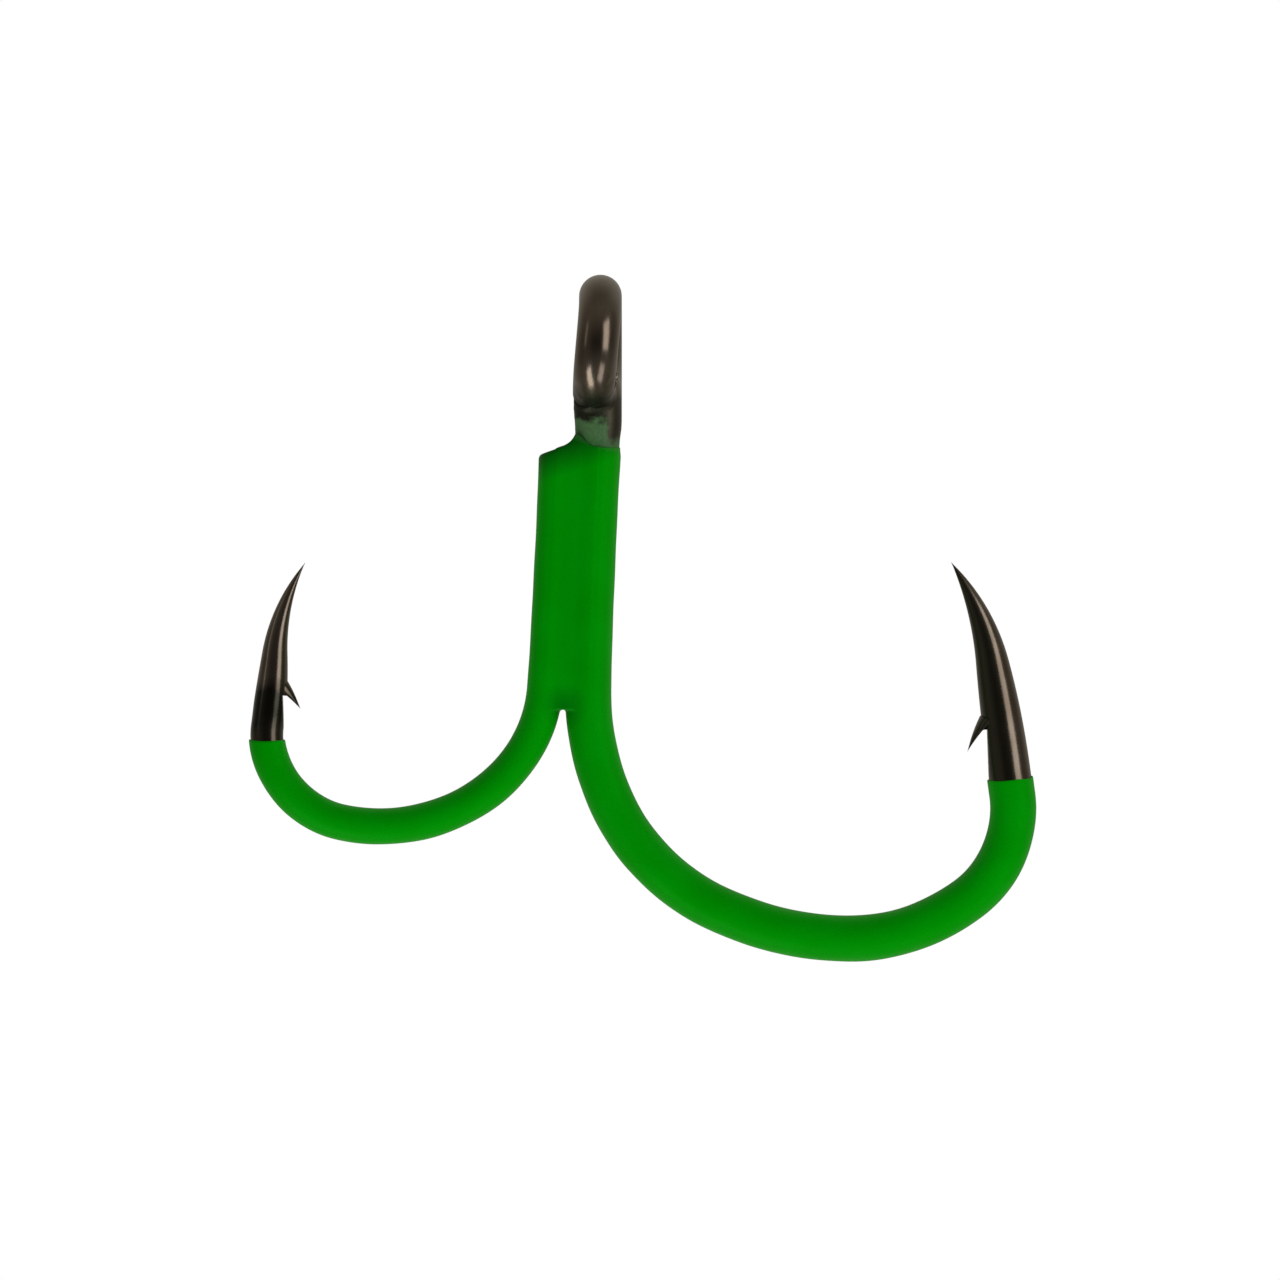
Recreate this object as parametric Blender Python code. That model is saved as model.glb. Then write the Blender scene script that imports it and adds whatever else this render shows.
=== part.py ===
"""Double fishing hook: a large eyed hook with a smaller, thinner hook brazed to its shank.

Frame: metres, +Z up. Both hooks lie in the XZ plane, the large one towards +X. The eye is a ring in
the YZ plane, and the origin is the middle of the inner top of the ring, where a line or ring pulls.
"""
import math

import bmesh
import bpy
from mathutils import Matrix, Vector

MM = 0.001

# Wires
SIDES = 16                      # sides of every round section
LARGE_WIRE = 2.26 * MM
SMALL_WIRE = 1.74 * MM
BEND_STEP = 7.0                 # degrees between stations along a bend

# Large hook below the eye: top of the straight shank, its heading, then legs of (length mm, turn deg)
LARGE_START = (-0.103 * MM, -6.54 * MM)
LARGE_HEADING = -93.4
LARGE_LEGS = ((12.98, 2.0), (5.79, 23.4), (8.48, 42.2), (7.06, 24.2),
              (7.14, 39.0), (6.18, 59.8), (7.05, 2.7), (5.80, 24.6))
LARGE_GRIND = (11.8 * MM, 2.22)     # length of the point's taper, and the power that shapes it

# Small hook: same layout, bending towards -X
SMALL_START = (-2.291 * MM, -7.08 * MM)
SMALL_HEADING = -92.0
SMALL_LEGS = ((12.40, -1.8), (6.60, -49.7), (8.23, -49.5), (5.63, -64.1),
              (1.29, -20.4), (3.83, 3.2), (5.13, -28.0))
SMALL_GRIND = (7.9 * MM, 1.45)
SMALL_TOP_SLOPE = 0.33          # its sheared top end rises towards the large hook

TIP_SHARE = 0.012               # radius left at a point, as a share of the wire's
GRIND_STATIONS = 12
GRIND_CROWDING = 1.5            # above 1, the stations crowd towards the tip
STATION_CLEAR = 0.2 * MM        # a station closer than this to a trimmed end is dropped

# Eye
EYE_RADIUS = 2.55 * MM          # of the ring's centreline
EYE_STEP = 10.0                 # degrees between stations round the ring
EYE_END = 245.0                 # where the ring's closing end stops, from +Y over the top
EYE_END_SHIFT = -0.33 * MM      # the closing end lies this far to -X
EYE_SHIFT_FROM = 120.0          # and the ring starts to lean that way here
EYE_END_SLOPE = -0.60           # and is sheared off obliquely, longest on its -X side
NECK_RADIUS = 2.0 * MM          # back-bend from the shank into the ring
NECK_STEPS = 7
NECK_STRAIGHT = 0.35 * MM       # of wire that stands square under the neck
EYE_INNER = EYE_RADIUS - LARGE_WIRE / 2 * math.cos(math.pi / SIDES)
END_REACH = 1.4 * MM            # length of wire over which the shear of an end fades out
EYE_CENTRE = -EYE_INNER * math.cos(math.radians(EYE_STEP / 2))   # puts the ring's flat inner top at z = 0

# Barbs, in a frame on the wire at the root, which is measured along the wire from the point: the sliver's
# base is sunk under the surface, it is raised by the lift angle, and a notch behind it fades out
LARGE_BARB = {"root": 8.62 * MM, "sunk": 0.22 * MM, "length": 2.00 * MM, "lift": 37.0, "width": 1.60 * MM,
              "thick": 0.63 * MM, "ledge": 0.60 * MM, "notch": 0.25 * MM, "fade": 2.8 * MM}
SMALL_BARB = {"root": 6.48 * MM, "sunk": 0.49 * MM, "length": 1.90 * MM, "lift": 43.0, "width": 1.30 * MM,
              "thick": 0.80 * MM, "ledge": 0.78 * MM, "notch": 0.24 * MM, "fade": 1.8 * MM}
BARB_TIP = 0.04 * MM
BARB_SIDES = 12
NOTCH_RUNOUT = 0.02 * MM        # the notch ends this far clear of the wire
NOTCH_REACH = 1.0 * MM          # and its cutter reaches this far past the wire, inward
NOTCH_SPREAD = 1.5              # and to each side by this share of the wire's radius

# Braze between the shanks, and the coating over everything but the eye and the points
FIT = 0.02 * MM                 # clearance between neighbouring pieces
COAT = 0.07 * MM                # thickness of the coating
WEB_LARGE = 0.99 * MM           # half thickness of the braze where it meets each wire
WEB_SMALL = 0.77 * MM
WEB_INSET_LARGE = 0.45 * MM     # it meets them this far short of their centrelines
WEB_INSET_SMALL = 0.30 * MM
WEB_TOP_LARGE = -6.45 * MM      # it climbs the large shank as a fillet
WEB_TOP_SMALL = -7.05 * MM
WEB_BOTTOM = -20.70 * MM
WEB_BOTTOM_LARGE = -0.65 * MM   # x of the two centrelines at its lower end
WEB_BOTTOM_SMALL = -3.10 * MM
COAT_TOP = 0.30 * MM            # below the large hook's straight start
LARGE_COAT_END = 11.95 * MM     # bare length at each point
SMALL_COAT_END = 9.70 * MM
EYE_BRAZE_SHARE = 0.93          # radius of the braze that closes the ring, as a share of the wire's
EYE_BRAZE_FOOT = 0.83           # and at its lower end
EYE_BRAZE_BACK = 0.7 * MM       # it starts this far up the closing end
EYE_BRAZE_LIP = 0.2 * MM        # and runs straight on this far past it
EYE_SEAM_REACH = 1.6 * MM       # how far round the closing end the seam's clearance is widened
EYE_BRAZE_RUN = ((-0.30 * MM, -0.50 * MM, -5.00 * MM), (-0.22 * MM, -0.25 * MM, -6.28 * MM))

# Finishes: base colour, roughness, metallic
STEEL = ((0.045, 0.040, 0.035), 0.30, 0.9)
BRASS = ((0.07, 0.065, 0.05), 0.45, 0.9)
GREEN = ((0.0, 0.21, 0.0), 0.60, 0.0)
SMOOTH_BELOW = 35.0             # degrees: edges flatter than this are shaded smooth


def clear_scene():
    for item in list(bpy.data.objects):
        bpy.data.objects.remove(item)


def collection(name):
    group = bpy.data.collections.new(name)
    bpy.context.scene.collection.children.link(group)
    return group


def material(name, finish):
    colour, roughness, metallic = finish
    mat = bpy.data.materials.new(name)
    mat.use_nodes = True
    shader = mat.node_tree.nodes["Principled BSDF"]
    shader.inputs["Base Color"].default_value = (*colour, 1.0)
    shader.inputs["Roughness"].default_value = roughness
    shader.inputs["Metallic"].default_value = metallic
    return mat


def smooth_step(t):
    t = min(max(t, 0.0), 1.0)
    return t * t * (3.0 - 2.0 * t)


# ---- paths ----------------------------------------------------------------------------------------

def arc_chain(start, heading, legs):
    """Points in the XZ plane along tangent arcs and straights, one leg after another."""
    x, z = start
    angle = math.radians(heading)
    points = [Vector((x, 0.0, z))]
    for length, turn in legs:
        count = max(1, math.ceil(abs(turn) / BEND_STEP))
        bend = math.radians(turn) / count
        chord = length * MM / count
        if bend:
            chord *= math.sin(bend / 2) / (bend / 2)
        for _ in range(count):
            x += chord * math.cos(angle + bend / 2)
            z += chord * math.sin(angle + bend / 2)
            angle += bend
            points.append(Vector((x, 0.0, z)))
    return points


def eye_path():
    """The ring from its closing end over the top, then the neck down to the shank's axis."""
    reach = EYE_RADIUS + NECK_RADIUS
    neck_height = math.sqrt(reach ** 2 - NECK_RADIUS ** 2)
    meet = -math.atan2(neck_height, NECK_RADIUS)
    points = []
    angle = EYE_END
    while angle > math.degrees(meet) + EYE_STEP / 2:
        phi = math.radians(angle)
        shift = EYE_END_SHIFT * smooth_step((angle - EYE_SHIFT_FROM) / (EYE_END - EYE_SHIFT_FROM))
        points.append(Vector((shift, EYE_RADIUS * math.cos(phi), EYE_CENTRE + EYE_RADIUS * math.sin(phi))))
        angle -= EYE_STEP
    for i in range(NECK_STEPS + 1):
        phi = math.pi + meet * (1.0 - i / NECK_STEPS)
        y = NECK_RADIUS + NECK_RADIUS * math.cos(phi)
        z = EYE_CENTRE - neck_height + NECK_RADIUS * math.sin(phi)
        points.append(Vector((0.0, y, z)))
    points.append(points[-1] - Vector((0.0, 0.0, NECK_STRAIGHT)))
    return points


def lengths_from_end(points):
    """Distance of each point from the last one, measured along the path."""
    run = [0.0]
    for a, b in zip(points[:0:-1], points[-2::-1]):
        run.append(run[-1] + (a - b).length)
    return run[::-1]


def station(points, distance):
    """Place and direction on the path at a distance from its last point."""
    run = lengths_from_end(points)
    for i in range(len(points) - 1):
        if run[i] >= distance >= run[i + 1]:
            share = (run[i] - distance) / (run[i] - run[i + 1])
            return points[i].lerp(points[i + 1], share), (points[i + 1] - points[i]).normalized()
    raise ValueError("distance lies beyond the path")


def trimmed(points, bare, top=None):
    """The path without its last bare length, and from height top down if that is given."""
    run = lengths_from_end(points)
    kept = [p for p, d in zip(points, run) if d > bare + STATION_CLEAR
            and (top is None or p.z < top - STATION_CLEAR)]
    if top is not None:
        first = points[points.index(kept[0]) - 1]
        share = (first.z - top) / (first.z - kept[0].z)
        kept.insert(0, first.lerp(kept[0], share))
    kept.append(station(points, bare)[0])
    return kept


def with_grind_stations(points, grind):
    """Adds stations along the tapered end, closer together towards the point."""
    length = grind[0]
    body = trimmed(points, length)
    for i in range(GRIND_STATIONS - 1, -1, -1):
        body.append(station(points, length * (i / GRIND_STATIONS) ** GRIND_CROWDING)[0])
    return body


def taper(distance, grind):
    """Share of the wire's radius that the ground point has at a distance from its tip."""
    length, power = grind
    if distance >= length:
        return 1.0
    return max(TIP_SHARE, 1.0 - (1.0 - distance / length) ** power)


# ---- solids ---------------------------------------------------------------------------------------

def tube(name, points, radius, group, shares=None):
    """A wire as a bevelled curve, made a mesh with welded caps.

    The curve runs from the last point back to the first, so the flat start of a hook sets the way its
    sides face, and the sides of the eye still face along and across the ring.
    """
    curve = bpy.data.curves.new(name, "CURVE")
    curve.dimensions = "3D"
    curve.bevel_depth = radius
    curve.bevel_resolution = SIDES // 2 - 2
    curve.use_fill_caps = True
    spline = curve.splines.new("POLY")
    spline.points.add(len(points) - 1)
    shares = shares or [1.0] * len(points)
    for knot, place, share in zip(spline.points, reversed(points), reversed(shares)):
        knot.co = (*place, 1.0)
        knot.tilt = math.pi / SIDES
        knot.radius = share
    wire = bpy.data.objects.new(name + "_curve", curve)
    group.objects.link(wire)
    shape = wire.evaluated_get(bpy.context.evaluated_depsgraph_get())
    mesh = bpy.data.meshes.new_from_object(shape)
    mesh.name = name
    bm = bmesh.new()
    bm.from_mesh(mesh)
    bmesh.ops.remove_doubles(bm, verts=bm.verts, dist=0.001 * MM)
    bmesh.ops.recalc_face_normals(bm, faces=bm.faces)
    bm.to_mesh(mesh)
    bm.free()
    solid = bpy.data.objects.new(name, mesh)
    solid.matrix_world = wire.matrix_world
    group.objects.link(solid)
    bpy.data.objects.remove(wire)
    return solid


def block(name, group, corner):
    """A cube whose eight corners are placed by corner(sx, sy, sz), each sign -1 or 1."""
    mesh = bpy.data.meshes.new(name)
    bm = bmesh.new()
    bmesh.ops.create_cube(bm, size=2.0)
    for vert in bm.verts:
        vert.co = corner(*(round(c) for c in vert.co))
    bmesh.ops.recalc_face_normals(bm, faces=bm.faces)
    bm.to_mesh(mesh)
    bm.free()
    solid = bpy.data.objects.new(name, mesh)
    group.objects.link(solid)
    return solid


def as_cutter(solid):
    solid.hide_render = True
    solid.display_type = "WIRE"
    return solid


def boolean(target, other, operation):
    """Applies one exact Boolean and removes the other solid."""
    step = target.modifiers.new(operation.lower(), "BOOLEAN")
    step.operation = operation
    step.solver = "EXACT"
    step.object = other
    graph = bpy.context.evaluated_depsgraph_get()
    mesh = bpy.data.meshes.new_from_object(target.evaluated_get(graph))
    target.modifiers.clear()
    target.data = mesh
    bpy.data.objects.remove(other)


def slope_end(solid, centre, outward, slope):
    """Shears a wire's end along X so that its face leans, fading out over a length of wire."""
    for vert in solid.data.vertices:
        offset = vert.co - centre
        back = -offset.dot(outward)
        if offset.length < 2 * END_REACH and -0.01 * MM < back < END_REACH:
            vert.co = vert.co + outward * (offset.x * slope * (1.0 - back / END_REACH))


def local_frame(place, along, inward):
    """Matrix with its origin at place, local +Z along and local +X inward."""
    side = along.cross(inward).normalized()
    frame = Matrix((inward, side, along)).transposed().to_4x4()
    frame.translation = place
    return frame


def add_barb(hook, points, barb, inward_sign, radius, grind, cutters):
    """Cuts the notch below a barb, then joins the raised sliver on to the wire."""
    place, along = station(points, barb["root"])
    inward = Vector((-along.z, 0.0, along.x)) * inward_sign
    surface = radius * taper(barb["root"], grind)
    full = radius * taper(barb["root"] + barb["ledge"], grind)

    def notch_corner(sx, sy, sz):
        floor = full - barb["notch"] if sz > 0 else radius + NOTCH_RUNOUT
        x = floor if sx < 0 else radius + NOTCH_REACH
        z = -barb["ledge"] if sz > 0 else -barb["ledge"] - barb["fade"]
        return Vector((x, sy * radius * NOTCH_SPREAD, z))

    notch = as_cutter(block("notch", cutters, notch_corner))
    notch.data.transform(local_frame(place, along, inward))
    boolean(hook, notch, "DIFFERENCE")

    mesh = bpy.data.meshes.new("sliver")
    bm = bmesh.new()
    bmesh.ops.create_cone(bm, cap_ends=True, segments=BARB_SIDES, radius1=barb["width"] / 2,
                          radius2=BARB_TIP / 2, depth=barb["length"])
    lean = Matrix.Rotation(math.radians(180.0 - barb["lift"]), 4, "Y")
    flatten = Matrix.Diagonal((barb["thick"] / barb["width"], 1.0, 1.0, 1.0))
    drop = Matrix.Translation((0.0, 0.0, barb["length"] / 2))
    root = Matrix.Translation((surface - barb["sunk"], 0.0, 0.0))
    bm.transform(local_frame(place, along, inward) @ root @ lean @ flatten @ drop)
    bm.to_mesh(mesh)
    bm.free()
    sliver = bpy.data.objects.new("sliver", mesh)
    cutters.objects.link(as_cutter(sliver))
    boolean(hook, sliver, "UNION")


def web(name, group, large, small, grow):
    """The wedge of braze between the two shanks, grown outward by an even amount."""
    def corner(sx, sy, sz):
        if sx > 0:
            top = WEB_TOP_LARGE
            x = (large.x if sz > 0 else WEB_BOTTOM_LARGE) - WEB_INSET_LARGE
            half = WEB_LARGE
        else:
            top = WEB_TOP_SMALL
            x = (small.x if sz > 0 else WEB_BOTTOM_SMALL) + WEB_INSET_SMALL
            half = WEB_SMALL
        z = top + grow if sz > 0 else WEB_BOTTOM - grow
        return Vector((x, sy * (half + grow), z))
    return block(name, group, corner)


def cut_wires(solid, cutters, large_path, small_path, clearance):
    """Takes both wires, grown by the clearance, out of a solid."""
    large = as_cutter(tube("large_clearance", large_path, LARGE_WIRE / 2 + clearance, cutters))
    boolean(solid, large, "DIFFERENCE")
    small_top = small_path[0] + (small_path[0] - small_path[1]).normalized() * clearance
    small_points = [small_top] + small_path[1:]
    small = as_cutter(tube("small_clearance", small_points, SMALL_WIRE / 2 + clearance, cutters))
    outward = (small_path[0] - small_path[1]).normalized()
    slope_end(small, small_top, outward, SMALL_TOP_SLOPE)
    boolean(solid, small, "DIFFERENCE")


# ---- sub-parts ------------------------------------------------------------------------------------

def large_hook(parts, cutters, path):
    points = with_grind_stations(path, LARGE_GRIND)
    shares = [taper(d, LARGE_GRIND) for d in lengths_from_end(points)]
    hook = tube("large_hook", points, LARGE_WIRE / 2, parts, shares)
    outward = (path[0] - path[1]).normalized()
    slope_end(hook, path[0], outward, EYE_END_SLOPE)
    add_barb(hook, points, LARGE_BARB, 1, LARGE_WIRE / 2, LARGE_GRIND, cutters)
    return hook


def small_hook(parts, cutters, path):
    points = with_grind_stations(path, SMALL_GRIND)
    shares = [taper(d, SMALL_GRIND) for d in lengths_from_end(points)]
    hook = tube("small_hook", points, SMALL_WIRE / 2, parts, shares)
    slope_end(hook, path[0], (path[0] - path[1]).normalized(), SMALL_TOP_SLOPE)
    add_barb(hook, points, SMALL_BARB, -1, SMALL_WIRE / 2, SMALL_GRIND, cutters)
    return hook


def shank_braze(parts, cutters, large_path, small_path, large_top):
    braze = web("shank_braze", parts, large_top, small_path[0], 0.0)
    cut_wires(braze, cutters, large_path, small_path, FIT)
    return braze


def eye_braze(parts, cutters, path):
    """Fills the seam between the ring's closing end and the neck, and runs down the neck."""
    outward = (path[0] - path[1]).normalized()
    run = [path[0] - outward * EYE_BRAZE_BACK, path[0] + outward * EYE_BRAZE_LIP]
    run += [Vector(place) for place in EYE_BRAZE_RUN]
    shares = [EYE_BRAZE_SHARE] * (len(run) - 1) + [EYE_BRAZE_FOOT]
    plug = tube("eye_braze", run, LARGE_WIRE / 2, parts, shares)
    cutter = as_cutter(tube("eye_clearance", path, LARGE_WIRE / 2 + FIT, cutters))
    slope_end(cutter, path[0], outward, EYE_END_SLOPE)
    for vert in cutter.data.vertices:
        offset = vert.co - path[0]
        if offset.length < EYE_SEAM_REACH and offset.dot(outward) > -EYE_BRAZE_BACK:
            vert.co = vert.co + outward * FIT
    boolean(plug, cutter, "DIFFERENCE")
    return plug


def green_coating(parts, cutters, large_path, small_path, large_top):
    """One thin skin over both bends, both shanks and the braze."""
    skin = FIT + COAT
    large_skin = trimmed(large_path, LARGE_COAT_END, LARGE_START[1] - COAT_TOP)
    coat = tube("green_coating", large_skin, LARGE_WIRE / 2 + skin, parts)
    outward = (small_path[0] - small_path[1]).normalized()
    small_skin = [small_path[0] + outward * skin] + trimmed(small_path, SMALL_COAT_END)[1:]
    small = as_cutter(tube("small_skin", small_skin, SMALL_WIRE / 2 + skin, cutters))
    slope_end(small, small_skin[0], outward, SMALL_TOP_SLOPE)
    boolean(coat, small, "UNION")
    boolean(coat, as_cutter(web("web_skin", cutters, large_top, small_path[0], skin)), "UNION")
    boolean(coat, as_cutter(web("web_clearance", cutters, large_top, small_path[0], FIT)), "DIFFERENCE")
    cut_wires(coat, cutters, large_path, small_path, FIT)
    return coat


def build():
    clear_scene()
    parts = collection("double_hook")
    cutters = collection("cutters")
    steel = material("black_nickel", STEEL)
    brass = material("braze", BRASS)
    green = material("green_coat", GREEN)

    large_shank = arc_chain(LARGE_START, LARGE_HEADING, LARGE_LEGS)
    large_path = eye_path() + large_shank
    small_path = arc_chain(SMALL_START, SMALL_HEADING, SMALL_LEGS)

    finished = {
        large_hook(parts, cutters, large_path): steel,
        small_hook(parts, cutters, small_path): steel,
        shank_braze(parts, cutters, large_path, small_path, large_shank[0]): brass,
        eye_braze(parts, cutters, large_path): brass,
        green_coating(parts, cutters, large_path, small_path, large_shank[0]): green,
    }
    for solid, mat in finished.items():
        solid.data.materials.clear()
        solid.data.materials.append(mat)
        solid.data.shade_smooth()
        solid.data.set_sharp_from_angle(angle=math.radians(SMOOTH_BELOW))


build()
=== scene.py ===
"""Looks of the double fishing hook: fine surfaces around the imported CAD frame, a studio and a camera.

Shapes are worked out in millimetres in the CAD's frame and scaled to metres when a mesh is made.
Both hooks lie in the XZ plane and the eye's ring in the YZ plane; +Z is up.
"""
import math

import bmesh
import bpy
import numpy as np
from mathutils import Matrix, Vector


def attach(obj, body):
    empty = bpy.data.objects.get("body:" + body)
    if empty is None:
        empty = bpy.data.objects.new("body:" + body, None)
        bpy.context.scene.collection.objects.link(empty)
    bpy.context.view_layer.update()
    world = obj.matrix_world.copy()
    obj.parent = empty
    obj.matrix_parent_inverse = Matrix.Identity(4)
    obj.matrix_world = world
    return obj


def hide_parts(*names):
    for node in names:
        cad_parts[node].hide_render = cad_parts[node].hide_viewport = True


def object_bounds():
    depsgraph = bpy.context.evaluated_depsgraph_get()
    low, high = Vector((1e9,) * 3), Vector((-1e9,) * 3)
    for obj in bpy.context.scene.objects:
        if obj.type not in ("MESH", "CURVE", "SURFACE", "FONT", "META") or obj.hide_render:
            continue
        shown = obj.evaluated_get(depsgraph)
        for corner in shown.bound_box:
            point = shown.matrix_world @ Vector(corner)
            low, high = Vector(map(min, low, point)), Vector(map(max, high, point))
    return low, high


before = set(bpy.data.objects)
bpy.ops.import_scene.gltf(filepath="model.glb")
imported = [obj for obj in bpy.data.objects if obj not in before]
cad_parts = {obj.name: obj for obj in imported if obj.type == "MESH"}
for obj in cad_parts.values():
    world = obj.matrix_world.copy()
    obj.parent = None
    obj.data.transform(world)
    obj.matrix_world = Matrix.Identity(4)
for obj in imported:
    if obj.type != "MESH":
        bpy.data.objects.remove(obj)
CAD_LOW, CAD_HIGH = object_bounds()
MM = 0.001

# Wires: radii in millimetres
LARGE_R = 1.13
SMALL_R = 0.87
GAP = 0.02                      # between a wire and what covers it
SKIN = 0.07                     # thickness of the coating

# Centrelines: (x, z) of the top, heading, then legs of (length, turn in degrees)
LARGE_START = (0.0, -5.50)
LARGE_HEADING = -90.0
LARGE_LEGS = ((0.54, -10.2), (0.51, 6.8), (12.98, 2.0), (5.79, 23.4), (8.48, 42.2), (7.06, 24.2),
              (7.14, 39.0), (6.18, 59.8), (7.05, 2.7), (5.80, 24.6))
SMALL_START = (-2.293, -7.14)
SMALL_HEADING = -92.0
SMALL_LEGS = ((12.34, -1.79), (6.60, -49.7), (8.23, -49.5), (5.63, -64.1), (1.29, -20.4), (3.83, 3.2),
              (5.13, -28.0))
LARGE_GRIND = (11.8, 2.22)      # length of the taper, and the power that shapes it
SMALL_GRIND = (7.9, 1.45)
TIP_RADIUS = 0.012

# Eye: a ring in the YZ plane, measured in degrees from +Y over the top to its closing end
EYE_RADIUS = 2.55               # to the middle of the wire
EYE_CENTRE = -1.4363            # height
EYE_END = 245.0
EYE_SHIFT_FROM = 120.0          # from here the ring leaves its plane
EYE_END_SHIFT = -0.33           # and this is how far it has moved in X at its end
NECK_RADIUS = 2.0               # of the bend between the ring and the shank

# First ends of both wires
EYE_END_SLOPE = -0.60           # lean of the cut along X: the ring's closing end
SMALL_TOP_SLOPE = 0.34          # and the small wire's top
SHEAR_REACH = 1.4               # length over which the lean fades out
END_BEVEL = 0.04

# Barbs, in a frame on the wire at the root
LARGE_BARB = {"root": 8.62, "sunk": 0.22, "length": 2.00, "lift": 37.0, "width": 1.70, "thick": 0.63,
              "ledge": 0.60, "notch": 0.25, "fade": 2.8}
SMALL_BARB = {"root": 6.48, "sunk": 0.49, "length": 1.90, "lift": 43.0, "width": 1.35, "thick": 0.80,
              "ledge": 0.78, "notch": 0.24, "fade": 1.8}

# Bare length at each point
LARGE_BARE = 11.95
SMALL_BARE = 9.70

# Coating
WEB_SUNK = 0.03                 # the web lies this far under the plane that touches both wires
CROTCH_SUNK = 0.12              # and this much deeper at its lower end
CROTCH_FADE = (-18.6, -20.7)    # between these heights
CROTCH = -20.70                 # height of the web's lower end
TOP_PLACE = (-2.291, -6.96)     # (x, z) on the slanted top of the covered small shank
NECK_SIDE = -1.32               # x where the coating climbs highest, beside the neck
NECK_CLIMB = 0.42               # how far it climbs there over the slanted top
NECK_FILLET = 0.70              # and the width of that climb
SHANK_TOP = -6.90               # height of the coating's edge across the front of the large shank
FEATHER = 0.50                  # length over which the coating thins out at its top
TOP_SHADE_REACH = 1.6                # length of the painted shade band under the coating's slanted top, where the top turns away from the light

# Braze that closes the eye's seam and runs down the neck: spheres of (x, y, z, radius) joined by cones
TONGUE = ((-0.30, -1.80, -3.24, 1.12), (-0.31, -1.57, -3.45, 1.12), (-0.32, -1.35, -3.60, 1.12),
          (-0.32, -1.00, -3.78, 1.12), (-0.33, -0.62, -3.92, 1.10), (-0.45, -0.28, -4.80, 0.97),
          (-0.46, -0.26, -5.20, 0.93), (-0.45, -0.25, -5.60, 0.90), (-0.40, -0.20, -6.50, 0.88),
          (-0.30, -0.12, -7.20, 0.80))
BRAZE_SEAM = 0.03               # gap between the ring's closing end and the braze
BRAZE_TOP = -2.40
BRAZE_FOOT = -7.15

# Meshes
FINE = 0.12                     # spacing of stations where a wire shows, and where it is covered
COVERED = 0.30
FINE_MARGIN = 0.5               # the fine stations reach this far in under the coat
LEDGE_STEP = 0.004              # the two stations at a barb's ledge are this far to each side of it
SIDES = 64                      # vertices round a visible wire
SEED_SIDES = 48                 # and round a rough solid that is settled on to its true surface later
SEED_STEP = 0.15                # spacing of the rough solid's stations
SEED_TOP = -6.12                # height where the coat's rough solid starts, above its true top
COAT_VOXEL = 0.075
BRAZE_VOXEL = 0.05
HOOK_CREASE = 28.0              # angles in degrees above which an edge stays sharp
CAST_CREASE = 50.0


# ---- centrelines ----------------------------------------------------------------------------------

class Chain:
    """A centreline of tangent arcs and straights in the XZ plane, measured by its run from the top."""

    def __init__(self, start, heading, legs):
        x, z = start
        angle = math.radians(heading)
        self.legs = []
        self.length = 0.0
        for length, turn in legs:
            leg = (x, z, angle, length, math.radians(turn), self.length)
            self.legs.append(leg)
            x, z, angle = self.along(leg, length)
            self.length += length

    @staticmethod
    def along(leg, run):
        """Place and heading at a run into one leg."""
        x, z, angle, length, turn, _ = leg
        bend = turn * run / length
        chord = run * np.sinc(bend / 2 / np.pi)
        return x + chord * np.cos(angle + bend / 2), z + chord * np.sin(angle + bend / 2), angle + bend

    def at(self, run):
        """Place and heading at a run along the whole chain."""
        for leg in self.legs:
            if run <= leg[5] + leg[3] or leg is self.legs[-1]:
                return self.along(leg, run - leg[5])

    def nearest(self, x, z):
        """Distance to the chain, run of the nearest place, and signed offset to the left of the heading."""
        best = np.full(x.shape, np.inf)
        run = np.zeros(x.shape)
        side = np.zeros(x.shape)
        for leg in self.legs:
            x0, z0, angle, length, turn, before = leg
            if abs(turn) > 1e-6:
                radius = length / turn
                px, pz = radius * math.sin(angle), -radius * math.cos(angle)
                wx, wz = x - (x0 - px), z - (z0 - pz)
                share = np.arctan2(px * wz - pz * wx, px * wx + pz * wz) / turn
            else:
                share = ((x - x0) * math.cos(angle) + (z - z0) * math.sin(angle)) / length
            share = np.clip(share, 0.0, 1.0)
            nx, nz, heading = self.along(leg, share * length)
            gap = np.hypot(x - nx, z - nz)
            closer = gap < best
            best = np.where(closer, gap, best)
            run = np.where(closer, before + share * length, run)
            left = np.cos(heading) * (z - nz) - np.sin(heading) * (x - nx)
            side = np.where(closer, left, side)
        return best, run, side


LARGE = Chain(LARGE_START, LARGE_HEADING, LARGE_LEGS)
SMALL = Chain(SMALL_START, SMALL_HEADING, SMALL_LEGS)


def smooth_step(t):
    """Eases from 0 to 1."""
    t = np.clip(t, 0.0, 1.0)
    return t * t * (3.0 - 2.0 * t)


def runs(chain, bare, barb):
    """Runs of the stations: wide apart where the wire is covered, close where bare, paired at the ledge."""
    covered = chain.length - bare - FINE_MARGIN
    ledge = chain.length - barb["root"] - barb["ledge"]
    first = np.linspace(0.0, covered, int(covered / COVERED))
    second = np.linspace(covered, chain.length, int((bare + FINE_MARGIN) / FINE))[1:]
    return np.unique(np.concatenate([first, second, [ledge - LEDGE_STEP, ledge + LEDGE_STEP]]))


def chain_points(chain, where):
    """Places on a chain at some runs."""
    return np.array([(x, 0.0, z) for x, z, _ in (chain.at(run) for run in where)])


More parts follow.
